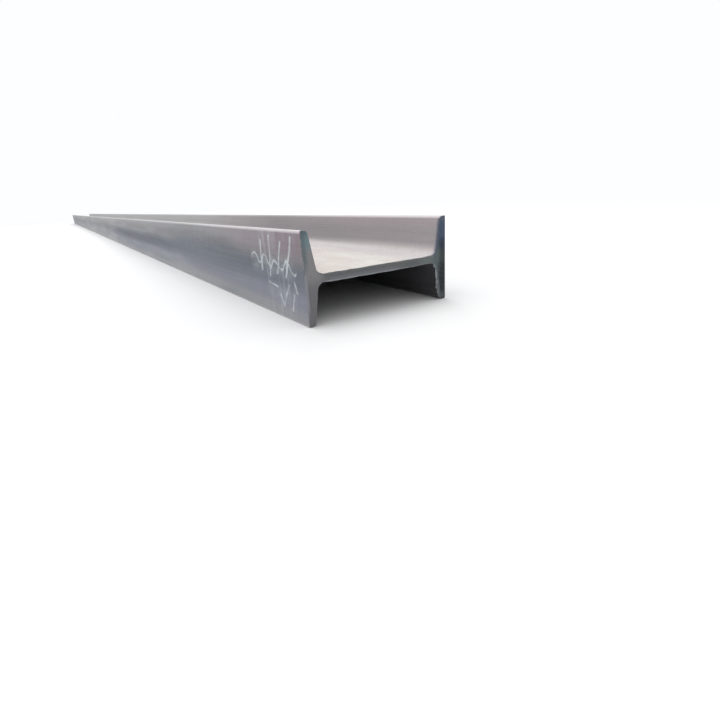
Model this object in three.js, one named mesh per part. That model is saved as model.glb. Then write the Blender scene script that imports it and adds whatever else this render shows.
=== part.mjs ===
// Hot-rolled steel I-beam with tapered flanges, size No. 18, cut to a 6 m stock length.
//
// The beam is one rolled piece. Two flanges with flat outer faces stand at either side of a
// thin web. Their inner faces slope 1 in 6, so each flange thins from a round root at the
// web to a round-nosed toe.
//
// Frame, in millimetres: the beam lies unheld on its flange toes, with its web level.
// +X runs across the section from flange to flange, +Y runs along the length and +Z is up.
// The origin is on the floor, under the middle of the beam.

import * as THREE from 'three';

// Rolled section
const DEPTH = 180; // over the outer faces of the flanges
const FLANGE_WIDTH = 94; // from toe to toe
const WEB_THICKNESS = 6.5;
const FLANGE_THICKNESS = 10.7; // on the gauge line, midway between the toe and the web
const INNER_SLOPE = 1 / 6; // of the flange's inner face
const ROOT_RADIUS = 8.5; // where a flange meets the web
const TOE_RADIUS = 4.3; // inner corner of a toe
const EDGE_RADIUS = 1.2; // outer corner of a toe, slightly rounded by the rolls

// Stock length between the two saw cuts
const LENGTH = 6000;

// Half the number of flats that stand for each rounded corner
const ARC_DIVISIONS = 6;

// The three arcs that round one quarter of the section, in order from the flange's outer
// face, over its toe, to the web. The outline's x is across the depth and its y is up.
function quarterArcs() {
  const taper = Math.atan(INNER_SLOPE);
  const gaugeY = FLANGE_WIDTH / 2 - (FLANGE_WIDTH - WEB_THICKNESS) / 4;
  const innerFaceX = (y) => DEPTH / 2 - FLANGE_THICKNESS + INNER_SLOPE * (y - gaugeY);
  const toeY = FLANGE_WIDTH / 2 - TOE_RADIUS;
  const rootY = WEB_THICKNESS / 2 + ROOT_RADIUS;
  return [
    {
      x: DEPTH / 2 - EDGE_RADIUS,
      y: FLANGE_WIDTH / 2 - EDGE_RADIUS,
      radius: EDGE_RADIUS,
      from: 0,
      to: Math.PI / 2,
      clockwise: false,
    },
    {
      x: innerFaceX(toeY) + TOE_RADIUS / Math.cos(taper),
      y: toeY,
      radius: TOE_RADIUS,
      from: Math.PI / 2,
      to: Math.PI - taper,
      clockwise: false,
    },
    {
      x: innerFaceX(rootY) - ROOT_RADIUS / Math.cos(taper),
      y: rootY,
      radius: ROOT_RADIUS,
      from: -taper,
      to: -Math.PI / 2,
      clockwise: true,
    },
  ];
}

// An angle as it reads after the quarter is mirrored to the given side.
function mirroredAngle(angle, sideX, sideY) {
  return Math.atan2(sideY * Math.sin(angle), sideX * Math.cos(angle));
}

// The whole section, walked anticlockwise. Two quarters run from the outer face to the web
// and two run back, so mirroring and turning round cancel and no arc changes its sense.
// The shape joins one arc to the next with the straight faces between them.
function sectionOutline() {
  const outline = new THREE.Shape();
  for (const [sideX, sideY] of [[1, 1], [-1, 1], [-1, -1], [1, -1]]) {
    const inwards = sideX === sideY;
    const arcs = inwards ? quarterArcs() : quarterArcs().reverse();
    for (const arc of arcs) {
      const start = mirroredAngle(inwards ? arc.from : arc.to, sideX, sideY);
      const end = mirroredAngle(inwards ? arc.to : arc.from, sideX, sideY);
      outline.absarc(sideX * arc.x, sideY * arc.y, arc.radius, start, end, arc.clockwise);
    }
  }
  return outline;
}

// The beam is the section drawn out along Y, centred on the origin and set down on the floor.
function rolledBeam() {
  const geometry = new THREE.ExtrudeGeometry(sectionOutline(), {
    depth: LENGTH,
    steps: 1,
    curveSegments: ARC_DIVISIONS,
    bevelEnabled: false,
  });
  geometry.rotateX(Math.PI / 2);
  geometry.translate(0, LENGTH / 2, FLANGE_WIDTH / 2);

  const millScale = new THREE.MeshStandardMaterial({
    name: 'mill_scale_steel',
    color: 0x70767e,
    roughness: 0.45,
    metalness: 0.7,
  });
  const beam = new THREE.Mesh(geometry, millScale);
  beam.name = 'i_beam';
  return beam;
}

const model = new THREE.Group();
model.add(rolledBeam());

export default model;
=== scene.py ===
"""The looks of a hot-rolled steel I-beam that lies on its flange toes on a pale studio floor.

The beam is one piece of rolled stock, so the scene holds one swept body, the ragged burr that
the saw left on its two ends, and the loose scale that lies on its web. All lengths are metres.
The frame is the model's own: X across the section, Y along the beam, Z up, floor at Z = 0.
The front cut looks towards -Y. The left flange is the one at -X, and the right one is at +X.
"""

import math

import bpy
from mathutils import Matrix, Vector


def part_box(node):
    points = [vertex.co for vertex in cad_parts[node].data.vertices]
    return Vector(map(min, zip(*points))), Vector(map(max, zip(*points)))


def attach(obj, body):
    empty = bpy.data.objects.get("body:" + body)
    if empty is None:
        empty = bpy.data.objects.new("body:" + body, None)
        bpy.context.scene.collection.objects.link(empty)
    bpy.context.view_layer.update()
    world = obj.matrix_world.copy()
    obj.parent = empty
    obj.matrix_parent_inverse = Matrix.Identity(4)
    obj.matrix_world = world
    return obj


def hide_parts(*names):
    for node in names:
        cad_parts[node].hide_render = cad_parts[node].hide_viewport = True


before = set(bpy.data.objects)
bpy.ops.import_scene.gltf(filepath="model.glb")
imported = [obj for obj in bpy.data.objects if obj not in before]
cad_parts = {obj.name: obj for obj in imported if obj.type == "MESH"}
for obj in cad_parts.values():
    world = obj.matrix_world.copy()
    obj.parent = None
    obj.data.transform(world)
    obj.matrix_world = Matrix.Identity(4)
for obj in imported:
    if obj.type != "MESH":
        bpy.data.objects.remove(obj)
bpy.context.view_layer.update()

# -------------------- sizes

NODE = "i_beam"
BODY = "root"

low_corner, high_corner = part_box(NODE)
DEPTH = high_corner.x - low_corner.x
WIDTH = high_corner.z - low_corner.z
LENGTH = high_corner.y - low_corner.y
MIDDLE = WIDTH / 2  # height of the web's own middle
FRONT = low_corner.y
BACK = high_corner.y

WEB = 0.0065
FLANGE = 0.0107  # midway between the toe and the web
SLOPE = 1 / 6
ROOT_RADIUS = 0.0085
TOE_RADIUS = 0.0043
EDGE_RADIUS = 0.0012
GAUGE = WIDTH / 2 - (WIDTH - WEB) / 4  # where the flange's thickness is measured

EDGE_STEPS = 4  # lines that stand for each arc of a quarter of the section
TOE_STEPS = 7
ROOT_STEPS = 8
FLANGE_STEPS = 5  # and for each of its flats
NOSE_STEPS = 2
TAPER_STEPS = 4
WEB_STEPS = 6

STATIONS = 620  # rings along the beam
END_SHARE = 0.12  # share of the ring spacing that is left at the two ends
WAVE_DEPTH = 0.0005  # of the slight waves that the rolls leave
END_EASE = 0.0005  # how far the saw rounded the edge of a cut
EASE_LENGTH = 0.0009  # of that rounding, along the beam
EASE_LEAST = 0.2  # share of the ease where the edge is crispest
EASE_SPREAD = 1.6  # and how much more it may get
SHARP_ANGLE = math.radians(35)  # an edge that turns more than this is shaded crisp
CUT_FACING = 0.9  # a face whose normal has more of Y than this is sawn
BEAM_SEED = 3.7

BURR_STEP = 0.0008
BURR_REACH = 0.0015  # of the torn fin past a plain inner edge, before it is made uneven
BURR_ROOT = 0.0008  # how far it is rooted behind the edge
BURR_THICK = 0.30  # its thickness at the root and at the tip, as shares of its height
BURR_THIN = 0.10
BURR_LEAN = 0.08  # how far its tip is offset along the beam, as a share of its height
BURR_SEEDS = (1.3, 8.1)
FACING_START = 0.3  # cosines between which an edge comes to count as facing a way
FACING_FULL = 0.9
OUTER_TALL = 0.22  # the fin's height on outer edges, as a share of its reach
HANG_TALL = 0.35  # where an inner edge faces down
HANG_WEB = 0.30  # added to that under the web
HANG_ROOT = 0.25  # taken from it at the right root
TORN_TALL = 0.7  # added on the right flange below the web, where it is torn
TAG_TALL = 1.1  # added for each tag that hangs there
CORNER_TALL = 2.2  # added in the corner under the web
TOOTH_LEVEL = 0.0284  # how far below the web's middle the two teeth of the torn stretch lie
TOOTH_PITCH = 0.0044
BURR_PATCHY = 0.55  # share of the height that is left between its taller patches
BURR_TOOTHED = 0.50  # and the same where its small teeth are lowest

MAP_NAME = "OFBake"  # the finishes are baked through a map of this name
MAP_GAP = 0.002  # left empty along each side of an island
MAP_HALF = 0.425  # height of the island for half the beam, with the cuts in what is left
MAP_EASE = 0.45  # this far from an end a baked pixel is twice as long as at the end
MAP_SHELTERED = 0.35  # of the usual height, for the faces under the web
MAP_HAIR = 1e-6  # share of the length past the middle that counts as front
SIDE_CORNERS = 4  # of a face between two rings; the face of a cut has more

FLAKES_PER_SQUARE_METRE = 1500
FLAKE_SIDES = 6
FLAKE_RADIUS = 0.0011
FLAKE_THICKNESS = 0.00012
FLAKE_TILT = 0.12  # radians at the most
FLAKE_LEAST = (0.3, 0.3, 1.0)  # the least and the most by which a chip is stretched
FLAKE_MOST = (1.3, 0.9, 1.6)
FLAKE_MARGIN = 0.022  # from an outer face of the beam, where no chip lies
FLAKE_SEED = 5
LEVEL_FACING = 0.97  # a face whose normal has more of Z than this can carry chips

CHALK_START = 0.034  # from the front cut to the first stroke
CHALK_PITCH = 0.025
CHALK_STROKES = 4
CHALK_LOW = 0.046
CHALK_HIGH = 0.084
CHALK_UNEVEN = 0.003  # how far the strokes' ends stray from those two heights
CHALK_TURNS = (2.4, 3.1)  # radians by which that varies from stroke to stroke, low and high
CHALK_LEAN = 0.010  # half the lean of the first stroke
CHALK_STRAIGHTEN = 0.28  # the share of that lean that each next one loses
CHALK_WIDTH = 0.0026  # of a level stroke
CHALK_FLATNESS = 0.60  # the lump lies flat, so an upright stroke is broader by this share
CHALK_SHAKE = 0.006  # of the hand along the flange, and half its shake up the wavy line
CHALK_WAVE = 0.0042  # half the height of the wavy line across the count
CHALK_WAVE_LENGTH = 0.031
CHALK_WAVE_LEVEL = 0.0535
CHALK_WAVE_RISE = 0.06  # for each metre along it
CHALK_LOWER_MARKS = (  # a dash, a tick and two more strokes, from the front cut and the floor
    ((0.094, 0.036), (0.071, 0.033)),
    ((0.065, 0.025), (0.058, 0.014)),
    ((0.058, 0.014), (0.040, 0.038)),
    ((0.035, 0.012), (0.029, 0.029)),
    ((0.026, 0.042), (0.020, 0.032)),
)

# -------------------- node trees


class Value:
    """A socket that can stand in a sum: each operator adds one Math node to its tree."""

    def __init__(self, graph, socket):
        self.graph = graph
        self.socket = socket

    def __add__(self, other):
        return self.graph.maths("ADD", self, other)

    def __sub__(self, other):
        return self.graph.maths("SUBTRACT", self, other)

    def __rsub__(self, other):
        return self.graph.maths("SUBTRACT", other, self)

    def __mul__(self, other):
        return self.graph.maths("MULTIPLY", self, other)

    def __truediv__(self, other):
        return self.graph.maths("DIVIDE", self, other)

    def __abs__(self):
        return self.graph.maths("ABSOLUTE", self)

    __radd__ = __add__
    __rmul__ = __mul__

    def fade(self, start, end):
        """0 where this value is at start and 1 at end, eased; start may be the larger."""
        return self.graph.node(
            "ShaderNodeMapRange",
            {"interpolation_type": "SMOOTHSTEP"},
            {"Value": self, "From Min": start, "From Max": end},
        )


class Graph:
    """A node tree, with the one method that adds a node to it and a few short forms of that."""

    def __init__(self, tree):
        self.tree = tree

    def node(self, kind, settings=None, sockets=None, out=0):
        """Adds a node. Its settings come first, then its sockets' values or links.

        Gives the output that out names, or a tuple of outputs if out is a tuple.
        """
        made = self.tree.nodes.new(kind)
        for name, setting in (settings or {}).items():
            setattr(made, name, setting)
        for name, value in (sockets or {}).items():
            if isinstance(value, Value):
                self.tree.links.new(value.socket, made.inputs[name])
            else:
                made.inputs[name].default_value = value
        if isinstance(out, tuple):
            return tuple(Value(self, made.outputs[name]) for name in out)
        return Value(self, made.outputs[out]) if len(made.outputs) else made

    def maths(self, operation, *values):
        return self.node("ShaderNodeMath", {"operation": operation}, dict(enumerate(values)))

    def larger(self, first, second):
        return self.maths("MAXIMUM", first, second)

    def exceeds(self, first, second):
        """Whether the first number is the larger one."""
        return self.node(
            "FunctionNodeCompare", {"operation": "GREATER_THAN"}, {"A": first, "B": second}
        )

    def both(self, first, second):
        return self.node("FunctionNodeBooleanMath", {"operation": "AND"}, {0: first, 1: second})

    def vector(self, operation, *values):
        return self.node("ShaderNodeVectorMath", {"operation": operation}, dict(enumerate(values)))

    def scaled(self, vector, by):
        return self.node("ShaderNodeVectorMath", {"operation": "SCALE"}, {0: vector, "Scale": by})

    def moved(self, geometry, socket, vector):
        """Sets each point's Position or adds an Offset to it, as the socket's name says."""
        return self.node("GeometryNodeSetPosition", None, {"Geometry": geometry, socket: vector})

    def shaded(self, geometry, domain, smooth, selection=True):
        """Shades the selected faces or edges smooth or flat."""
        sockets = {"Geometry": geometry, "Selection": selection, "Shade Smooth": smooth}
        return self.node("GeometryNodeSetShadeSmooth", {"domain": domain}, sockets)

    def split(self, value):
        return self.node("ShaderNodeSeparateXYZ", None, {"Vector": value}, out=("X", "Y", "Z"))

    def join(self, x=0.0, y=0.0, z=0.0):
        return self.node("ShaderNodeCombineXYZ", None, {"X": x, "Y": y, "Z": z})

    def noise(self, where, stretch, detail=2.0, roughness=0.5):
        """Noise from 0 to 1; stretch is how many times it changes in a metre along X, Y and Z."""
        scaled = self.vector("MULTIPLY", where, stretch)
        return self.node(
            "ShaderNodeTexNoise",
            None,
            {"Vector": scaled, "Scale": 1.0, "Detail": detail, "Roughness": roughness},
        )

    def mix(self, share, first, second):
        """The first colour where share is 0, and the second where it is 1."""
        return self.node(
            "ShaderNodeMix",
            {"data_type": "RGBA"},
            {"Factor": share, 6: first, 7: second},
            out=2,
        )

    def coats(self, base, *coats):
        """Lays coats over a base colour, each given as its share and its own colour."""
        for share, coat in coats:
            base = self.mix(share, base, coat)
        return base


# -------------------- section


def arc(centre, radius, start, end, steps):
    """Points on an arc, both ends included; angles run from +x towards +y."""
    angles = [start + (end - start) * i / steps for i in range(steps + 1)]
    return [
        (centre[0] + radius * math.cos(a), centre[1] + radius * math.sin(a)) for a in angles
    ]


def straight(start, end, steps):
    """The points between two ends, without the ends."""
    return [
        tuple(a + (b - a) * i / steps for a, b in zip(start, end)) for i in range(1, steps)
    ]


def inner_face(from_middle):
    """How far from the section's middle a flange's inner face lies, at a height from mid web."""
    return DEPTH / 2 - FLANGE + SLOPE * (from_middle - GAUGE)


def quarter_outline():
    """A quarter of the section about its middle, from mid flange over the toe to mid web."""
    taper = math.atan(SLOPE)
    edge_y = WIDTH / 2 - EDGE_RADIUS
    toe_y = WIDTH / 2 - TOE_RADIUS
    root_y = WEB / 2 + ROOT_RADIUS
    toe_x = inner_face(toe_y) + TOE_RADIUS / math.cos(taper)
    root_x = inner_face(root_y) - ROOT_RADIUS / math.cos(taper)
    edge = arc((DEPTH / 2 - EDGE_RADIUS, edge_y), EDGE_RADIUS, 0, math.pi / 2, EDGE_STEPS)
    toe = arc((toe_x, toe_y), TOE_RADIUS, math.pi / 2, math.pi - taper, TOE_STEPS)
    root = arc((root_x, root_y), ROOT_RADIUS, -taper, -math.pi / 2, ROOT_STEPS)
    mid_flange = (DEPTH / 2, 0.0)
    mid_web = (0.0, WEB / 2)
    return (
        [mid_flange]
        + straight(mid_flange, edge[0], FLANGE_STEPS)
        + edge
        + straight(edge[-1], toe[0], NOSE_STEPS)
        + toe
        + straight(toe[-1], root[0], TAPER_STEPS)
        + root
        + straight(root[-1], mid_web, WEB_STEPS)
        + [mid_web]
    )


def section_outline():
    """The whole section, anticlockwise, as one closed loop of points."""
    quarter = quarter_outline()
    loop = []
    for side_x, side_y in ((1, 1), (-1, 1), (-1, -1), (1, -1)):
        points = [(side_x * x, side_y * y) for x, y in quarter]
        if side_x != side_y:
            points.reverse()
        loop += points[:-1]
    return loop


def add_object(name, data):
    """A new object in the scene, at the origin."""
    made = bpy.data.objects.new(name, data)
    bpy.context.scene.collection.objects.link(made)
    return made


def outline_object(name):
    """An object whose mesh is the section's loop, ready for a modifier to sweep."""
    points = section_outline()
    mesh = bpy.data.meshes.new(name)
    edges = [(i, (i + 1) % len(points)) for i in range(len(points))]
    mesh.from_pydata([(x, y, 0.0) for x, y in points], edges, [])
    return add_object(name, mesh)


# -------------------- geometry trees


def new_tree(name, labels, whole=()):
    """A Geometry Nodes tree, its Graph and its inputs by name; those in whole are integers."""
    tree = bpy.data.node_groups.new(name, "GeometryNodeTree")
    tree.interface.new_socket("Geometry", in_out="INPUT", socket_type="NodeSocketGeometry")
    for label in labels:
        kind = "NodeSocketInt" if label in whole else "NodeSocketFloat"
        tree.interface.new_socket(label, in_out="INPUT", socket_type=kind)
    tree.interface.new_socket("Geometry", in_out="OUTPUT", socket_type="NodeSocketGeometry")
    graph = Graph(tree)
    labels = ("Geometry", *labels)
    return tree, graph, dict(zip(labels, graph.node("NodeGroupInput", out=labels)))


def finish_tree(graph, geometry, *finishes):
    """Realizes what the tree made, gives it its finishes and sends it out.

    Each finish comes with the faces that it goes on, or with True for all of them.
    """
    body = graph.node("GeometryNodeRealizeInstances", None, {"Geometry": geometry})
    for finish, faces in finishes:
        sockets = {"Geometry": body, "Selection": faces, "Material": finish}
        body = graph.node("GeometryNodeSetMaterial", None, sockets)
    graph.node("NodeGroupOutput", None, {"Geometry": body})


def swept(made, tree, values):
    """Runs the tree on the object once, and keeps the result as its plain mesh."""
    modifier = made.modifiers.new(tree.name, "NODES")
    modifier.node_group = tree
    for item in tree.interface.items_tree:
        if item.in_out == "INPUT" and item.name in values:
            modifier[item.identifier] = values[item.name]
    evaluated = made.evaluated_get(bpy.context.evaluated_depsgraph_get())
    mesh = bpy.data.meshes.new_from_object(evaluated)
    made.modifiers.remove(modifier)
    old = made.data
    made.data = mesh
    bpy.data.meshes.remove(old)
    mesh.name = made.name
    return made


def seeded(graph, where, seed):
    """The place to take noise at, moved so that each seed gives noise of its own."""
    return graph.vector("ADD", where, graph.join(seed, seed, 0.0))


def unrolled_section(ring):
    """How far up its island each point of a ring lies, from 0 to 1 at the first point again."""
    heights = [0.0]
    for here, there in zip(ring, ring[1:] + ring[:1]):
        centre = (here + there) / 2
        sheltered = centre.z < MIDDLE and abs(centre.x) < DEPTH / 2 - FLANGE / 2
        heights.append(heights[-1] + (there - here).length * (MAP_SHELTERED if sheltered else 1))
    return [height / heights[-1] for height in heights]


def island(front, is_cut):
    """The two corners of the part of the map that a face belongs to."""
    if is_cut:
        low = (0.0 if front else 0.5, 2 * MAP_HALF)
        return low, (low[0] + 0.5, 1.0)
    low = (0.0, 0.0 if front else MAP_HALF)
    return low, (1.0, low[1] + MAP_HALF)


def map_beam(mesh):
    """Gives the swept beam the map that its finishes are baked through.

    A plain unwrapping leaves few pixels for the ends. Here the front half lies under the back
    half, each with its section unrolled upwards, and the two cuts lie side by side above them.
    """
    points = len(section_outline())
    places = [vertex.co.copy() for vertex in mesh.vertices]
    heights = unrolled_section(places[points * (STATIONS // 2):][:points])
    longest = math.log1p((LENGTH / 2 + LENGTH / STATIONS) / MAP_EASE)
    spots = [0.0] * (2 * len(mesh.loops))
    for face in mesh.polygons:
        front = face.center.y < LENGTH * MAP_HAIR
        side = -1 if front else 1
        steps = [mesh.loops[corner].vertex_index % points for corner in face.loop_indices]
        closes_ring = max(steps) - min(steps) > 1
        is_cut = len(steps) > SIDE_CORNERS
        low, high = island(front, is_cut)
        for corner, step in zip(face.loop_indices, steps):
            place = places[mesh.loops[corner].vertex_index]
            if is_cut:
                shares = (0.5 - side * place.x / DEPTH, place.z / WIDTH)
            else:
                reach = max(LENGTH / 2 - side * place.y, 0.0)
                along = math.log1p(reach / MAP_EASE) / longest
                up = heights[points if closes_ring and step == 0 else step]
                shares = (along if front else 1 - along, up)
            for i in (0, 1):
                start = low[i] + MAP_GAP
                end = high[i] - MAP_GAP
                spots[2 * corner + i] = start + (end - start) * shares[i]
    mesh.uv_layers.new(name=MAP_NAME).data.foreach_set("uv", spots)


def spine(graph, given, half):
    """The line that the section is swept along, its points crowded towards both ends."""
    line = graph.node("GeometryNodeCurvePrimitiveLine", None, {"End": (0.0, 1.0, 0.0)})
    line = graph.node(
        "GeometryNodeResampleCurve", None, {"Curve": line, "Count": given["Stations"]}
    )
    index = graph.node("GeometryNodeInputIndex")
    share = index / (given["Stations"] - 1) * 2 - 1
    crowded = graph.maths("SINE", share * (math.pi / 2))
    along = half * (given["End share"] * share + (1 - given["End share"]) * crowded)
    return graph.moved(line, "Position", graph.join(0.0, along, given["Height"]))


def rolling_waves(graph, given, where, half):
    """How far each point stands out: slight waves, less what the saw eased off the cuts."""
    own = seeded(graph, where, given["Seed"])
    waves = graph.noise(own, (9.0, 2.6, 22.0), 3.0) - 0.5
    at_end = abs(graph.split(where)[1]).fade(half - EASE_LENGTH, half)
    ragged = graph.noise(own, (260.0, 0.0, 260.0), 3.0)
    eased = at_end * given["End ease"] * (ragged * EASE_SPREAD + EASE_LEAST)
    return waves * given["Wave depth"] - eased


def beam_tree(scale_finish, cut_finish, edge_finish):
    """Sweeps the section along Y, waves its faces a little and eases the edges of the cuts."""
    tree, graph, given = new_tree(
        "rolled_beam",
        ("Length", "Stations", "End share", "Height", "Wave depth", "End ease", "Seed"),
        whole=("Stations",),
    )
    half = given["Length"] * 0.5
    profile = graph.node("GeometryNodeMeshToCurve", None, {"Mesh": given["Geometry"]})
    body = graph.node(
        "GeometryNodeCurveToMesh",
        None,
        {"Curve": spine(graph, given, half), "Profile Curve": profile, "Fill Caps": True},
    )

    where = graph.node("GeometryNodeInputPosition")
    normal = graph.node("GeometryNodeInputNormal")
    square = graph.vector("NORMALIZE", graph.vector("MULTIPLY", normal, (1.0, 0.0, 1.0)))
    push = rolling_waves(graph, given, where, half)
    body = graph.moved(body, "Offset", graph.scaled(square, push))
    x, y, z = graph.split(where)
    body = graph.moved(body, "Position", graph.join(x, y, graph.larger(z, 0.0)))

    angle = graph.node("GeometryNodeInputMeshEdgeAngle", out="Unsigned Angle")
    body = graph.shaded(body, "FACE", True)
    body = graph.shaded(body, "EDGE", False, graph.exceeds(angle, SHARP_ANGLE))
    in_ease = graph.exceeds(abs(y), half - EASE_LENGTH)
    on_cut = graph.exceeds(abs(graph.split(normal)[1]), CUT_FACING)
    finish_tree(
        graph, body, (scale_finish, True), (edge_finish, in_ease), (cut_finish, on_cut)
    )
    return tree


def burr_heights(graph, x, level, across, upwards):
    """How tall the fin is at each point of the cut's edge, as a share of its reach.

    It is tall on inner edges that face up or left, and low on those that face down. Below the
    web the right flange is torn: a broad tag, two teeth and the tag at its foot hang there.
    """
    up = across.fade(-FACING_START, -FACING_FULL)
    down = across.fade(FACING_START, FACING_FULL)
    left = upwards.fade(-FACING_START, -FACING_FULL)
    inside = abs(x).fade(DEPTH / 2 - 0.0005, DEPTH / 2 - 0.0025)
    inside = inside * abs(level).fade(WIDTH / 2 - 0.0005, WIDTH / 2 - 0.0060)

    torn = left * level.fade(-0.006, -0.016) * inside
    broad_tag = level.fade(-0.0345, -0.0322) * level.fade(-0.010, -0.026)
    teeth = abs(abs(level + TOOTH_LEVEL) - TOOTH_PITCH / 2).fade(0.0018, 0.0006)
    foot_tag = level.fade(-0.0325, -0.0355)
    tags = broad_tag * TAG_TALL + teeth * TAG_TALL + foot_tag * TAG_TALL

    under_web = x.fade(-0.070, -0.064) * x.fade(0.048, 0.036)
    hang = HANG_TALL + HANG_WEB * under_web - HANG_ROOT * x.fade(0.042, 0.056)
    tall = graph.larger(up, left) * (OUTER_TALL + (1 - OUTER_TALL) * inside)
    tall = graph.larger(tall, down * inside * hang) + torn * (TORN_TALL + tags)
    return tall + left * down * inside * CORNER_TALL


def burr_profile(graph, given):
    """The fin's own section, of height 1: broad at its root and thin at its tip."""
    fin = graph.node(
        "GeometryNodeCurvePrimitiveQuadrilateral",
        {"mode": "TRAPEZOID"},
        {
            "Height": 1.0,
            "Bottom Width": BURR_THICK,
            "Top Width": BURR_THIN,
            "Offset": given["Lean"],
        },
    )
    return graph.node(
        "GeometryNodeTransform",
        None,
        {"Geometry": fin, "Translation": (0.5, 0.0, 0.0), "Rotation": (0.0, 0.0, -math.pi / 2)},
    )


def burr_tree(finish):
    """A ragged fin of torn steel on the edges where the saw left the section, at one end."""
    tree, graph, given = new_tree(
        "saw_burr", ("End", "Height", "Step", "Reach", "Root", "Lean", "Seed")
    )
    loop = graph.node("GeometryNodeMeshToCurve", None, {"Mesh": given["Geometry"]})
    loop = graph.node(
        "GeometryNodeResampleCurve", {"mode": "LENGTH"}, {"Curve": loop, "Length": given["Step"]}
    )
    where = graph.node("GeometryNodeInputPosition")
    x, y, z = graph.split(where)
    # the outline comes flat, and is stood up at the cut before its z is read
    loop = graph.moved(loop, "Position", graph.join(x, given["End"], y + given["Height"]))
    across, _, upwards = graph.split(graph.node("GeometryNodeInputTangent"))
    outward = graph.join(upwards, 0.0, 0 - across)
    loop = graph.node(
        "GeometryNodeSetCurveNormal", {"mode": "FREE"}, {"Curve": loop, "Normal": outward}
    )

    tall = burr_heights(graph, x, z - given["Height"], across, upwards)
    own = seeded(graph, where, given["Seed"])
    patches = graph.noise(own, (60.0, 0.0, 60.0), 2.0).fade(0.30, 0.62)
    teeth = graph.noise(own, (420.0, 0.0, 420.0), 2.0, 0.7)
    tall = tall * given["Reach"] * (BURR_PATCHY + (1 - BURR_PATCHY) * patches)
    height = tall * (BURR_TOOTHED + teeth) + given["Root"]
    loop = graph.moved(loop, "Offset", graph.scaled(outward, given["Root"] * -1))
    burr = graph.node(
        "GeometryNodeCurveToMesh",
        None,
        {"Curve": loop, "Profile Curve": burr_profile(graph, given), "Scale": height},
    )
    finish_tree(graph, graph.shaded(burr, "FACE", False), (finish, True))
    return tree


def flake_tree(finish):
    """Loose scale: thin uneven chips scattered over the web's upper face."""
    tree, graph, given = new_tree(
        "loose_scale",
        ("Per square metre", "Radius", "Thickness", "Height", "Half width", "Seed"),
        whole=("Seed",),
    )
    normal = graph.node("GeometryNodeInputNormal")
    x, _, z = graph.split(graph.node("GeometryNodeInputPosition"))
    faces_up = graph.exceeds(graph.split(normal)[2], LEVEL_FACING)
    above = graph.exceeds(z, given["Height"])
    inside = graph.exceeds(given["Half width"], abs(x))
    points = graph.node(
        "GeometryNodeDistributePointsOnFaces",
        None,
        {
            "Mesh": given["Geometry"],
            "Selection": graph.both(graph.both(faces_up, above), inside),
            "Density": given["Per square metre"],
            "Seed": given["Seed"],
        },
    )
    chip = graph.node(
        "GeometryNodeMeshCylinder",
        None,
        {"Vertices": FLAKE_SIDES, "Radius": given["Radius"], "Depth": given["Thickness"]},
    )

    def uneven(low, high, seed):
        return graph.node(
            "FunctionNodeRandomValue",
            {"data_type": "FLOAT_VECTOR"},
            {"Min": low, "Max": high, "Seed": seed},
        )

    least_turn = (-FLAKE_TILT, -FLAKE_TILT, 0.0)
    most_turn = (FLAKE_TILT, FLAKE_TILT, 2 * math.pi)
    chips = graph.node(
        "GeometryNodeInstanceOnPoints",
        None,
        {
            "Points": points,
            "Instance": chip,
            "Rotation": uneven(least_turn, most_turn, 1),
            "Scale": uneven(FLAKE_LEAST, FLAKE_MOST, 2),
        },
    )
    finish_tree(graph, chips, (finish, True))
    return tree


# -------------------- colours


def colour(red, green, blue):
    return (red, green, blue, 1.0)


# a flange's outer face, from its foot up, what stains it, and the painted sheen, highlight and
# shadow on it
FACE_FOOT = colour(0.275, 0.275, 0.290)
FACE_LOW = colour(0.192, 0.202, 0.246)
FACE_HIGH = colour(0.170, 0.174, 0.188)
FACE_TOP = colour(0.222, 0.218, 0.228)
FACE_BAND = colour(0.114, 0.131, 0.160)
# painted sheen, in lens-shaped patches
FACE_SHEEN = colour(0.262, 0.272, 0.298)
FACE_TEAL = colour(0.120, 0.162, 0.168)
BLOOM = colour(0.236, 0.178, 0.204)
BLOOM_DARK = colour(0.188, 0.146, 0.166)
# painted shadow, for a dark patch
SHADOW_PATCH_COLOUR = colour(0.112, 0.115, 0.120)
FOOT_PALE = colour(0.320, 0.320, 0.335)
# painted highlight along the edges, then painted sheen far along the beam
EDGE_HIGHLIGHT_PALE = colour(0.360, 0.360, 0.370)
FAR_SHEEN_PALE = colour(0.365, 0.358, 0.350)

# the channels with the dust and its painted top light, painted sheen far along, painted shade
# under the web, and the strips beside the cuts
INNER_DARK = colour(0.296, 0.278, 0.289)
INNER_LIGHT = colour(0.350, 0.320, 0.334)
INNER_BLUSH = colour(0.372, 0.318, 0.336)
# painted sheen, far along the upper channel
INNER_FAR_SHEEN = colour(0.425, 0.425, 0.430)
# dust on the web, made pale enough to paint the top light and sheen that it catches
DUST_SHEEN_BROWN = colour(0.575, 0.515, 0.480)
DUST_SHEEN_PALE = colour(0.655, 0.630, 0.590)
DUST_SHEEN_ROSY = colour(0.620, 0.585, 0.605)
# painted shade under the web, on scale that has no dust
SHADE_UNDER_WEB_DARK = colour(0.050, 0.050, 0.055)
SHADE_UNDER_WEB_LIGHT = colour(0.080, 0.080, 0.086)
STRIP_GREY = colour(0.108, 0.114, 0.124)
STRIP_BLUE = colour(0.066, 0.086, 0.128)
STRIP_SCRAPED = colour(0.118, 0.120, 0.126)

# the grain of the scale, the painted highlight on its toes, and the chalk
STREAK_LIGHT = colour(0.31, 0.31, 0.33)
STREAK_DARK = colour(0.075, 0.085, 0.105)
GRAIN_DARK = colour(0.06, 0.065, 0.075)
GRAIN_LIGHT = colour(0.37, 0.37, 0.38)
PIT = colour(0.085, 0.080, 0.085)
RUST_SPECK = colour(0.17, 0.09, 0.055)
# painted highlight on the toes, near the front and farther off
TOE_HIGHLIGHT_NEAR = colour(0.66, 0.62, 0.64)
TOE_HIGHLIGHT_FAR = colour(0.60, 0.60, 0.605)
CHALK = colour(0.58, 0.63, 0.65)

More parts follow.
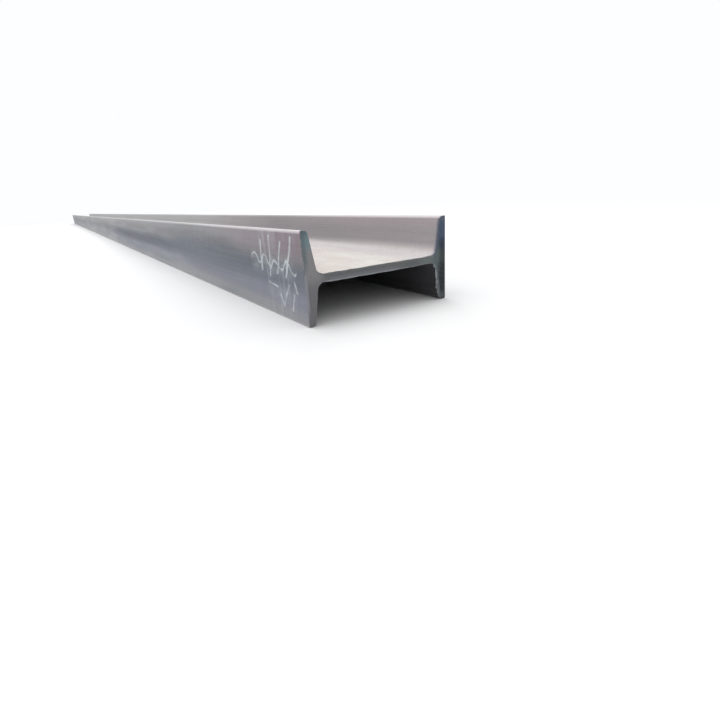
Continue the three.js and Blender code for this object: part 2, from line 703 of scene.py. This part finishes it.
# the cuts
CUT_DARK = colour(0.094, 0.102, 0.106)
CUT_LIGHT = colour(0.124, 0.121, 0.124)
CUT_LEFT = colour(0.152, 0.146, 0.156)
CUT_SHOULDER = colour(0.212, 0.210, 0.214)
CUT_TEAL = colour(0.140, 0.205, 0.228)
CUT_TEAL_EDGE = colour(0.094, 0.122, 0.132)
CUT_TEAL_TIP = colour(0.086, 0.112, 0.132)
CUT_RIGHT = colour(0.066, 0.084, 0.086)
CUT_HEAT = colour(0.060, 0.076, 0.102)
# painted shade at the right flange's core
CUT_CORE_SHADE_LOW = colour(0.012, 0.017, 0.020)
CUT_CORE_SHADE_HIGH = colour(0.018, 0.028, 0.050)
CUT_BLUE = colour(0.058, 0.084, 0.136)
CUT_BLUE_TIP = colour(0.110, 0.116, 0.138)
CUT_RIGHT_FOOT = colour(0.090, 0.102, 0.108)
# a painted glint along the lower side of the web's cut
CUT_WEB_GLINT = colour(0.160, 0.170, 0.190)
CUT_KNOT = colour(0.170, 0.210, 0.200)
SAW_MARK = colour(0.22, 0.22, 0.23)
RUST_SPOT = colour(0.13, 0.085, 0.065)
RUBBED = colour(0.250, 0.255, 0.285)

# the torn edges of the cuts
EDGE_DARK = colour(0.125, 0.132, 0.140)
EDGE_LIGHT = colour(0.215, 0.222, 0.232)
EDGE_BURNT = colour(0.062, 0.080, 0.120)
EDGE_FOOT = colour(0.075, 0.080, 0.085)
EDGE_TORN = colour(0.290, 0.310, 0.335)
EDGE_BASE = colour(0.060, 0.064, 0.070)
EDGE_ROOT = colour(0.104, 0.132, 0.129)
EDGE_WEB_TOP = colour(0.094, 0.102, 0.102)
# a painted glint along the web's lower torn edge
EDGE_WEB_GLINT = colour(0.290, 0.300, 0.320)

# the loose scale, and the studio
FLAKE_DARK = colour(0.19, 0.17, 0.17)
FLAKE_PALE = colour(0.58, 0.55, 0.52)
FLOOR = colour(0.80, 0.80, 0.80)
BACKDROP = colour(0.985, 0.99, 1.0)

# -------------------- finishes

SCALE_RELIEF = 0.00022  # depth of each finish's relief
CUT_RELIEF = 0.00025
EDGE_RELIEF = 0.0002
SCALE_METAL = 0.20  # where no dust lies
STEEL_METAL = 0.35  # of the cuts and their torn edges
SCALE_INDEX = 1.5  # of refraction
CUT_INDEX = 1.36
SAW_SLANT = 0.42  # rise of the saw marks across the cut
SAW_DRAW = 0.04  # how much they change along their own length

# The limits of a fade of x, y or z are metres in the beam's frame, and the number that a
# coat's fades are multiplied by is the most that the coat covers.

def new_finish(name):
    """A material with an empty shader: gives it, its Graph and where a point is on the beam."""
    material = bpy.data.materials.new(name)
    material.use_nodes = True
    material.node_tree.nodes.clear()
    graph = Graph(material.node_tree)
    where = graph.node("ShaderNodeTexCoord", out="Object")
    return material, graph, where


def finish_shader(graph, sockets, relief=None, relief_depth=0.0):
    """Closes a material with the shader's sockets and, if given, a relief in metres."""
    if relief is not None:
        sockets["Normal"] = graph.node(
            "ShaderNodeBump", None, {"Height": relief, "Distance": relief_depth}
        )
    shader = graph.node("ShaderNodeBsdfPrincipled", None, sockets)
    graph.node("ShaderNodeOutputMaterial", None, {"Surface": shader})


class Place:
    """Where a point lies on the beam, in the terms that the mill scale's parts share."""

    def __init__(self, graph, where):
        self.graph = graph
        self.where = where
        self.x, self.y, self.z = graph.split(where)
        self.from_middle = abs(self.z - MIDDLE)
        self.from_end = LENGTH / 2 - abs(self.y)
        self.outside = abs(self.x).fade(DEPTH / 2 - 0.0034, DEPTH / 2 - 0.0014)
        self.above = self.z.fade(MIDDLE - 0.0012, MIDDLE + 0.0012)
        self.right = self.x.fade(0.0705, 0.0745)

    def noise(self, *shape):
        return self.graph.noise(self.where, *shape)


def face_stains_and_painted_light(place, level, face):
    """The outer face with a bloom on top, a dark patch of painted shadow, a painted highlight
    along its edges farther off, and painted sheen far along.
    """
    y = place.y
    from_end = place.from_end
    runs = place.noise((40.0, 62.0, 7.0), 3.0, 0.55)
    bloom = level.fade(0.60, 0.90) * from_end.fade(0.36, 0.10)
    # the patch is painted shadow, and the edges get a painted highlight
    shadow_patch = abs(y + 1.85).fade(0.45, 0.10) * abs(level - 0.50).fade(0.16, 0.04)
    foot = level.fade(0.24, 0.10) * y.fade(-2.72, -2.82) * from_end.fade(0.02, 0.05)
    edges = place.from_middle.fade(0.030, 0.043) * y.fade(-2.75, -2.30)
    return place.graph.coats(
        face,
        (bloom * (0.40 + 0.45 * runs), BLOOM),
        (bloom * from_end.fade(0.120, 0.045) * 0.6, BLOOM_DARK),
        # a painted shadow patch
        (shadow_patch * 0.40, SHADOW_PATCH_COLOUR),
        (foot * 0.35, FOOT_PALE),
        # a painted highlight along the edges, and painted sheen far along the beam
        (edges * 0.42, EDGE_HIGHLIGHT_PALE),
        (y.fade(-1.9, -0.6) * 0.34, FAR_SHEEN_PALE),
    )


def outer_face(place, sheen_lenses):
    """A flange's outer face: darkest along the middle, lavender below, greyer above, with
    lens-shaped patches of painted sheen.

    Gives its colour, and how far a point lies in the dark band along the middle.
    """
    graph = place.graph
    y = place.y
    sway = place.noise((3.0, 1.1, 9.0), 2.0, 0.45)
    drop = y.fade(-1.1, -1.5) * y.fade(-2.46, -2.34)
    rise = y.fade(-2.42, -2.54) * y.fade(-2.84, -2.74)
    level = place.z / WIDTH + (sway - 0.5) * 0.22 + drop * 0.036 - rise * 0.022
    lower = graph.mix(level.fade(0.02, 0.26), FACE_FOOT, FACE_LOW)
    upper = graph.mix(level.fade(0.66, 0.98), FACE_HIGH, FACE_TOP)
    band = abs(level - 0.54).fade(0.24 + rise * 0.13, 0.03)
    band = band * (0.40 + 0.60 * y.fade(-0.6, -1.9)) * (1 - rise * 0.10)
    teal = place.noise((7.0, 3.0, 19.0), 2.0).fade(0.52, 0.68)
    face = graph.coats(
        graph.mix(level.fade(0.50, 0.58), lower, upper),
        (band * (0.86 + 0.28 * (sheen_lenses - 0.5)), FACE_BAND),
        # painted sheen in lens-shaped patches
        (sheen_lenses * 0.14, FACE_SHEEN),
        (teal * 0.40, FACE_TEAL),
    )
    return face_stains_and_painted_light(place, level, face), band


def dust_and_sheen_on_web(place):
    """How much dust lies on the web and up its root fillets; being pale, it also paints the top
    light and sheen there.
    """
    top = MIDDLE + 0.0150 + 0.0034 * place.from_end.fade(0.32, 0.06)
    dust_and_sheen = place.z.fade(MIDDLE + 0.0016, MIDDLE + 0.0030) * (1 - place.outside)
    return dust_and_sheen * (place.z - top).fade(0.0, -0.0114)


def upper_channel(place, clouds, mottle, dust_and_sheen):
    """The channel above the web: rosier by the cuts, paler away from the front with painted sheen,
    and dusty with painted top light.
    """
    graph = place.graph
    drift = place.noise((22.0, 9.0, 16.0), 4.0, 0.6)
    dust_sheen_colour = graph.mix(drift.fade(0.32, 0.68), DUST_SHEEN_BROWN, DUST_SHEEN_PALE)
    dust_sheen_colour = graph.mix(place.x.fade(0.020, 0.070) * 0.6, dust_sheen_colour, DUST_SHEEN_ROSY)
    blush = place.z.fade(0.074, 0.088) * place.from_end.fade(0.5, 0.2)
    return graph.coats(
        graph.mix(clouds, INNER_DARK, INNER_LIGHT),
        (blush * 0.6, INNER_BLUSH),
        # painted sheen that pales the face far along
        (place.y.fade(-2.5, -1.9) * 0.85, INNER_FAR_SHEEN),
        (dust_and_sheen * (0.86 + 0.14 * mottle.fade(0.3, 0.6)), dust_sheen_colour),
    )


def with_cut_strips(place, dust_and_sheen, inner, shade_under_web):
    """Both channels with a strip beside each cut, dull from heat above and scraped below."""
    graph = place.graph
    right = place.right
    ragged = place.noise((170.0, 40.0, 170.0), 3.0, 0.6) - 0.5
    width = 0.0042 + dust_and_sheen * (0.0056 - 0.0030 * place.x.fade(0.0, -0.045)) * (1 - right)
    width = width - right * 0.0009
    blur = 0.0014 + right * 0.0018
    strip = (place.from_end + ragged * 0.006).fade(width + blur, width - blur)
    scraped = (place.from_end + ragged * 0.003).fade(0.0032, 0.0016)
    inner = graph.mix(strip * 0.94, inner, graph.mix(right, STRIP_GREY, STRIP_BLUE))
    return inner, graph.mix(scraped * 0.8, shade_under_web, STRIP_SCRAPED)


def with_grain(place, skin, streaks, grain):
    """The scale with streaks along its length, pits in the outer faces and specks of rust."""
    pits = place.noise((1500.0, 1100.0, 1500.0), 2.0, 0.5).fade(0.60, 0.74)
    specks = place.noise((330.0, 210.0, 330.0), 3.0, 0.6).fade(0.69, 0.78)
    return place.graph.coats(
        skin,
        (streaks.fade(0.50, 0.78) * 0.20, STREAK_LIGHT),
        (streaks.fade(0.48, 0.26) * 0.22, STREAK_DARK),
        (grain.fade(0.46, 0.22) * 0.34, GRAIN_DARK),
        (grain.fade(0.54, 0.76) * 0.22, GRAIN_LIGHT),
        (pits * place.outside * 0.40, PIT),
        (specks * 0.55, RUST_SPECK),
    )


def painted_toe_highlight(place):
    """How strong the painted highlight on the toes is: less below, on the right, and away from the
    front.
    """
    toe = place.from_middle.fade(WIDTH / 2 - 0.0036, WIDTH / 2 - 0.0008)
    toe = toe * (0.35 + 0.65 * place.above)
    return toe * (1 - 0.45 * place.right) * (1 - 0.20 * place.y.fade(-2.78, -2.50))


def mill_scale():
    """Blue-grey scale: dull, dark with painted shade under the web, dusty with painted top light
    on the web, and a painted highlight on the toes.
    """
    material, graph, where = new_finish("mill_scale")
    place = Place(graph, where)
    clouds = place.noise((9.0, 1.7, 15.0), 3.0, 0.55).fade(0.35, 0.65)
    sheen_lenses = place.noise((26.0, 2.6, 34.0), 2.0, 0.5).fade(0.44, 0.62)
    streaks = place.noise((380.0, 2.0, 380.0), 3.0, 0.65)
    mottle = place.noise((95.0, 60.0, 95.0), 4.0, 0.6)
    grain = place.noise((620.0, 430.0, 620.0), 3.0, 0.6)

    face, band = outer_face(place, sheen_lenses)
    # dust, which also paints the web's top light and sheen
    dust_and_sheen = dust_and_sheen_on_web(place)
    inner = upper_channel(place, clouds, mottle, dust_and_sheen)
    # painted shade under the web
    shade_under_web = graph.mix(clouds, SHADE_UNDER_WEB_DARK, SHADE_UNDER_WEB_LIGHT)
    inner, shade_under_web = with_cut_strips(place, dust_and_sheen, inner, shade_under_web)
    skin = graph.mix(place.above, shade_under_web, inner)
    skin = graph.mix(place.outside, skin, face)
    skin = with_grain(place, skin, streaks, grain)
    # a painted highlight along the toes, strongest on top
    toe = painted_toe_highlight(place)
    toe_highlight_colour = graph.mix(place.y.fade(-2.80, -2.60), TOE_HIGHLIGHT_NEAR, TOE_HIGHLIGHT_FAR)
    skin = graph.mix(toe * (0.55 + 0.4 * mottle), skin, toe_highlight_colour)
    skin = graph.mix(chalk_marks(place, grain), skin, CHALK)

    rough = 0.60 + 0.20 * (mottle - 0.5) + 0.14 * dust_and_sheen - 0.16 * toe
    rough = rough + place.outside * (0.24 * band - 0.10 * sheen_lenses)
    metal = SCALE_METAL * (1 - dust_and_sheen)
    relief = streaks * 0.4 + mottle * 0.6 + grain * 0.35
    sockets = {"Base Color": skin, "Roughness": rough, "Metallic": metal, "IOR": SCALE_INDEX}
    finish_shader(graph, sockets, relief, SCALE_RELIEF)
    return material


def chalk_strokes():
    """A count of four leaning strokes, with the lower marks, as pairs of end points."""
    strokes = list(CHALK_LOWER_MARKS)
    for i in range(CHALK_STROKES):
        along = CHALK_START + CHALK_PITCH * i
        low = CHALK_LOW + CHALK_UNEVEN * math.sin(CHALK_TURNS[0] * i)
        high = CHALK_HIGH + CHALK_UNEVEN * math.cos(CHALK_TURNS[1] * i)
        lean = CHALK_LEAN * (1 - CHALK_STRAIGHTEN * i)
        strokes.append(((along + lean, low), (along - lean, high)))
    return strokes


def chalk_line(graph, along, z, start, end):
    """1 on the line between two points of the flange's face, and 0 away from it."""
    run = end[0] - start[0]
    rise = end[1] - start[1]
    square = run * run + rise * rise
    share = ((along - start[0]) * run + (z - start[1]) * rise) / square
    share = graph.maths("MINIMUM", graph.larger(share, 0.0), 1.0)
    off_along = (along - start[0] - share * run) * CHALK_FLATNESS
    off_up = z - start[1] - share * rise
    away = graph.maths("SQRT", off_along * off_along + off_up * off_up)
    return away.fade(CHALK_WIDTH * 0.68, CHALK_WIDTH * 0.26)


def chalk_wave(graph, along, z, hand):
    """1 on the wavy line across the count, and 0 away from it."""
    wave = graph.maths("SINE", along * (2 * math.pi / CHALK_WAVE_LENGTH)) * CHALK_WAVE
    off = z - CHALK_WAVE_LEVEL - along * CHALK_WAVE_RISE - wave + hand * (2 * CHALK_SHAKE)
    line = abs(off).fade(CHALK_WIDTH * 0.85, CHALK_WIDTH * 0.35)
    return line * along.fade(0.016, 0.022) * along.fade(0.146, 0.140)


def chalk_smear(graph, flat, along, z, count):
    """The chalk that was wiped along the flange, and the faint haze about the marks."""
    wiped = graph.noise(flat, (130.0, 16.0, 1.0), 3.0).fade(0.45, 0.75)
    smear = along.fade(0.008, 0.030) * along.fade(0.150, 0.100) * wiped
    blots = graph.noise(flat, (70.0, 110.0, 1.0), 3.0, 0.6).fade(0.42, 0.60)
    haze = count * along.fade(0.022, 0.040) * along.fade(0.150, 0.130)
    below = abs(z - 0.026).fade(0.014, 0.004)
    haze = haze + below * along.fade(0.036, 0.050) * along.fade(0.094, 0.080) * 0.7
    return smear * 0.20 + haze * (0.05 + 0.11 * blots)


def chalk_marks(place, grain):
    """A chalked count and the marks below it, on the left flange near the front."""
    graph = place.graph
    z = place.z
    along = place.y - FRONT
    flat = graph.join(along, z, 0.0)
    hand = graph.noise(flat, (55.0, 55.0, 1.0), 1.0) - 0.5
    press = graph.noise(flat, (90.0, 70.0, 1.0), 2.0).fade(0.34, 0.60)
    worn = grain.fade(0.34, 0.56)
    count = abs(z - 0.056).fade(0.016, 0.004)
    marks = chalk_wave(graph, along, z, hand)
    for start, end in chalk_strokes():
        line = chalk_line(graph, along + hand * CHALK_SHAKE, z, start, end)
        marks = graph.larger(marks, line)
    marks = marks * (0.13 + 0.24 * worn + 0.30 * press + 0.16 * count)
    left = place.x.fade(0.0014 - DEPTH / 2, 0.0004 - DEPTH / 2)
    return left * graph.larger(marks, chalk_smear(graph, flat, along, z, count))


def with_left_flange(graph, x, z, tint, skin):
    """The left flange's cut: teal at its upper toe, its outer edge rubbed bright lower down."""
    on_left = x.fade(-0.064, -0.078)
    shoulder = z.fade(0.036, 0.052) * z.fade(0.094, 0.072)
    high = (z + (tint - 0.5) * 0.006).fade(0.072, 0.082)
    outer_edge = x.fade(-0.0838, -0.0880)
    rubbed = x.fade(-0.0870, -0.0884) * z.fade(0.056, 0.044) * z.fade(0.006, 0.022)
    return graph.coats(
        skin,
        (on_left * 0.8, CUT_LEFT),
        (on_left * shoulder * 0.9, CUT_SHOULDER),
        (on_left * high * 0.88, CUT_TEAL),
        (outer_edge * 0.72 * z.fade(0.050, 0.066), CUT_TEAL_EDGE),
        (on_left * z.fade(0.0865, 0.0925) * 0.6, CUT_TEAL_TIP),
        (rubbed * 0.85, RUBBED),
    )


def with_right_flange(graph, x, z, tint, skin):
    """The right flange's cut: green-grey, nearly black with painted shade at its core, blue at its
    upper toe.
    """
    drift = tint - 0.5
    on_right = (x + drift * 0.006).fade(0.056, 0.076)
    # painted shade, darkest at the core of the cut
    core_shade = (x + drift * 0.002).fade(0.0775, 0.0840) * x.fade(0.0905, 0.0875)
    heat = z.fade(0.054, 0.062)
    blue = (z + drift * 0.006).fade(0.066, 0.074)
    return graph.coats(
        skin,
        (on_right * 0.88, CUT_RIGHT),
        (on_right * heat * 0.6, CUT_HEAT),
        (core_shade * 0.92, graph.mix(heat, CUT_CORE_SHADE_LOW, CUT_CORE_SHADE_HIGH)),
        (on_right * blue * 0.8, CUT_BLUE),
        (on_right * z.fade(0.086, 0.092) * 0.6, CUT_BLUE_TIP),
        (on_right * z.fade(0.013, 0.004) * 0.5, CUT_RIGHT_FOOT),
    )


def with_web(graph, x, z, skin):
    """The web's cut: a painted glint along its lower side, and lighter where it meets the right
    flange.
    """
    # a painted glint along the lower side
    low = abs(x).fade(0.074, 0.062) * z.fade(MIDDLE + 0.0016, MIDDLE - 0.0016)
    low = low * x.fade(0.036, 0.014)
    knot = x.fade(0.046, 0.062)
    knot = knot * (1 - 0.60 * x.fade(0.067, 0.076) - 0.12 * x.fade(0.082, 0.088))
    knot = knot * abs(z - MIDDLE - 0.003).fade(0.012, 0.004)
    return graph.coats(skin, (low * 0.5, CUT_WEB_GLINT), (knot * 0.34, CUT_KNOT))


def sawn_steel():
    """The cut end: grey, blue-green at one toe, darkest on the right where painted shade lies,
    with fine saw marks.
    """
    material, graph, where = new_finish("sawn_steel")
    x, _, z = graph.split(where)
    across_marks = graph.join(x * SAW_SLANT + z, x * SAW_DRAW, 0.0)
    marks = graph.noise(across_marks, (900.0, 90.0, 1.0), 3.0, 0.6)
    tint = graph.noise(where, (30.0, 1.0, 30.0), 3.0).fade(0.36, 0.64)
    spots = graph.noise(where, (210.0, 1.0, 210.0), 3.0).fade(0.62, 0.72)
    skin = graph.mix(tint, CUT_DARK, CUT_LIGHT)
    skin = with_left_flange(graph, x, z, tint, skin)
    skin = with_right_flange(graph, x, z, tint, skin)
    skin = with_web(graph, x, z, skin)
    skin = graph.mix(marks.fade(0.5, 0.8) * 0.22, skin, SAW_MARK)
    skin = graph.mix(spots * 0.45, skin, RUST_SPOT)
    rough = 0.48 + 0.18 * tint
    sockets = {"Base Color": skin, "Roughness": rough, "Metallic": STEEL_METAL, "IOR": CUT_INDEX}
    finish_shader(graph, sockets, marks, CUT_RELIEF)
    return material


def with_right_edge(graph, x, z, skin):
    """The right flange's torn edge: burnt blue above, bright on its tags, dark at their root."""
    on_right = x.fade(0.068, 0.074)
    burnt = on_right * z.fade(MIDDLE + 0.002, MIDDLE + 0.006)
    foot = on_right * z.fade(0.026, 0.018)
    torn = on_right * z.fade(0.037, 0.034) * z.fade(0.027, 0.030)
    base = (inner_face(abs(z - MIDDLE)) - x).fade(0.0014 + foot * 0.0012, 0.0004)
    base = base * on_right * z.fade(MIDDLE, 0.040)
    root = on_right * z.fade(0.0360, 0.0385) * z.fade(0.0470, 0.0450)
    return graph.coats(
        skin,
        (burnt * 0.9, EDGE_BURNT),
        (foot * 0.5, EDGE_FOOT),
        (torn * 0.6, EDGE_TORN),
        (base * 0.8, EDGE_BASE),
        (root * 0.9, EDGE_ROOT),
    )


def with_web_edge(graph, x, z, skin):
    """The web's torn edge, dull above and bright below with a painted glint, and the left flange's
    rubbed one.
    """
    web_top = abs(x).fade(0.074, 0.068) * z.fade(MIDDLE, MIDDLE + 0.002)
    # a painted glint below the web
    web_glint = abs(x).fade(0.074, 0.062) * z.fade(MIDDLE, MIDDLE - 0.002)
    web_glint = web_glint * x.fade(0.038, 0.010)
    rubbed = x.fade(-0.0860, -0.0880) * z.fade(0.056, 0.044)
    return graph.coats(
        skin,
        (web_top * 0.85, EDGE_WEB_TOP),
        (web_glint * 0.42, EDGE_WEB_GLINT),
        (rubbed * 0.8, RUBBED),
    )


def bare_edge():
    """Steel that the saw tore bright."""
    material, graph, where = new_finish("bare_edge")
    x, _, z = graph.split(where)
    patches = graph.noise(where, (260.0, 260.0, 260.0), 3.0, 0.6)
    bright = patches.fade(0.40, 0.66)
    skin = graph.mix(bright, EDGE_DARK, EDGE_LIGHT)
    skin = with_right_edge(graph, x, z, skin)
    skin = with_web_edge(graph, x, z, skin)
    rough = 0.55 - 0.15 * bright
    sockets = {"Base Color": skin, "Roughness": rough, "Metallic": STEEL_METAL}
    finish_shader(graph, sockets, patches, EDGE_RELIEF)
    return material


def flake_finish():
    """Dry scale and grit, from dark to pale."""
    material, graph, where = new_finish("loose_flakes")
    change = graph.noise(where, (160.0, 160.0, 10.0), 2.0)
    skin = graph.mix(change.fade(0.38, 0.62), FLAKE_DARK, FLAKE_PALE)
    finish_shader(graph, {"Base Color": skin, "Roughness": 0.6 + 0.2 * change})
    return material


# -------------------- studio

EYE_ACROSS = -0.2793  # from the middle of the section
EYE_BEFORE = 0.4026  # in front of the near cut
EYE_HEIGHT = 0.1235
TURN = math.radians(31.35)  # from the beam's own direction, to the right
LOOK_DOWN = math.radians(19.96)
TILT = math.radians(-3.81)
FOCAL_PIXELS = 458.7
FRAME_PIXELS = 720
SENSOR = 36.0
NEAREST = 0.02  # that the camera shows
FARTHEST = 300.0
FLOOR_REACH = 120.0
FLOOR_SIDES = 96
FLOOR_ROUGHNESS = 0.8
FLOOR_FADE = (0.5, 2.6)  # from the beam's middle line, where the floor melts away
LAMP_PLACE = (0.3, 0.4, 4.0)
LAMP_SIZE = (3.0, 9.0)
LAMP_POWER = 150.0


def aim_camera():
    """The camera, near the front end on the left, turned right and down."""
    data = bpy.data.cameras.new("camera")
    data.sensor_width = SENSOR
    data.lens = FOCAL_PIXELS / FRAME_PIXELS * SENSOR
    data.clip_start = NEAREST
    data.clip_end = FARTHEST
    camera = add_object("camera", data)
    camera.matrix_world = (
        Matrix.Translation((EYE_ACROSS, FRONT - EYE_BEFORE, EYE_HEIGHT))
        @ Matrix.Rotation(-TURN, 4, "Z")
        @ Matrix.Rotation(math.pi / 2 - LOOK_DOWN, 4, "X")
        @ Matrix.Rotation(TILT, 4, "Z")
    )
    bpy.context.scene.camera = camera


def floor_finish():
    """A plain pale finish that melts into the backdrop away from the beam."""
    material, graph, where = new_finish("floor")
    x, y, _ = graph.split(where)
    past_end = graph.larger(abs(y) - LENGTH / 2, 0.0)
    away = graph.maths("SQRT", x * x + past_end * past_end)
    sockets = {"Base Color": FLOOR, "Roughness": FLOOR_ROUGHNESS}
    pale = graph.node("ShaderNodeBsdfPrincipled", None, sockets)
    backdrop = graph.node("ShaderNodeEmission", None, {"Color": BACKDROP, "Strength": 1.0})
    blend = graph.node(
        "ShaderNodeMixShader", None, {0: away.fade(*FLOOR_FADE), 1: pale, 2: backdrop}
    )
    graph.node("ShaderNodeOutputMaterial", None, {"Surface": blend})
    return material


def lay_floor():
    """A wide round floor under the beam."""
    mesh = bpy.data.meshes.new("floor")
    turns = [2 * math.pi * i / FLOOR_SIDES for i in range(FLOOR_SIDES)]
    rim = [(FLOOR_REACH * math.cos(a), FLOOR_REACH * math.sin(a), 0.0) for a in turns]
    mesh.from_pydata(rim, [], [tuple(range(FLOOR_SIDES))])
    floor = add_object("floor", mesh)
    mesh.materials.append(floor_finish())


def hang_lamp(name):
    """A large soft lamp overhead that faces the middle of the floor."""
    data = bpy.data.lights.new(name, "AREA")
    data.shape = "RECTANGLE"
    data.size, data.size_y = LAMP_SIZE
    data.energy = LAMP_POWER
    place = Vector(LAMP_PLACE)
    facing = (-place).to_track_quat("-Z", "Y").to_matrix().to_4x4()
    add_object(name, data).matrix_world = Matrix.Translation(place) @ facing


def light_studio():
    """An even pale surround and one long soft lamp overhead."""
    world = bpy.data.worlds.new("studio")
    bpy.context.scene.world = world
    world.use_nodes = True
    graph = Graph(world.node_tree)
    world.node_tree.nodes.clear()
    light = graph.node("ShaderNodeBackground", None, {"Color": BACKDROP, "Strength": 1.0})
    graph.node("ShaderNodeOutputWorld", None, {"Surface": light})
    hang_lamp("overhead")
    bpy.context.scene.view_settings.view_transform = "Standard"


# -------------------- the beam


def roll_beam(finishes):
    """The beam itself, in place of the plain solid."""
    beam = outline_object("rolled_beam")
    swept(
        beam,
        beam_tree(finishes["scale"], finishes["cut"], finishes["edge"]),
        {
            "Length": LENGTH,
            "Stations": STATIONS,
            "End share": END_SHARE,
            "Height": MIDDLE,
            "Wave depth": WAVE_DEPTH,
            "End ease": END_EASE,
            "Seed": BEAM_SEED,
        },
    )
    map_beam(beam.data)
    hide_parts(NODE)
    return beam


def leave_burrs(finishes):
    """The burr at the near end and at the far one."""
    tree = burr_tree(finishes["edge"])
    behind = BURR_THICK * (BURR_ROOT + BURR_REACH) / 2
    made = []
    for name, end, inwards, seed in (
        ("saw_burr_front", FRONT, 1, BURR_SEEDS[0]),
        ("saw_burr_back", BACK, -1, BURR_SEEDS[1]),
    ):
        values = {
            "End": end + inwards * behind,
            "Height": MIDDLE,
            "Step": BURR_STEP,
            "Reach": BURR_REACH,
            "Root": BURR_ROOT,
            "Lean": BURR_LEAN * inwards,
            "Seed": seed,
        }
        made.append(swept(outline_object(name), tree, values))
    return made


def scatter_flakes(beam, finishes):
    """Loose scale on the web."""
    return swept(
        add_object("loose_scale", beam.data.copy()),
        flake_tree(finishes["flake"]),
        {
            "Per square metre": FLAKES_PER_SQUARE_METRE,
            "Radius": FLAKE_RADIUS,
            "Thickness": FLAKE_THICKNESS,
            "Height": MIDDLE,
            "Half width": DEPTH / 2 - FLAKE_MARGIN,
            "Seed": FLAKE_SEED,
        },
    )


finishes = {
    "scale": mill_scale(),
    "cut": sawn_steel(),
    "edge": bare_edge(),
    "flake": flake_finish(),
}
aim_camera()
lay_floor()
light_studio()
beam = roll_beam(finishes)
for piece in [beam, *leave_burrs(finishes), scatter_flakes(beam, finishes)]:
    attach(piece, BODY)
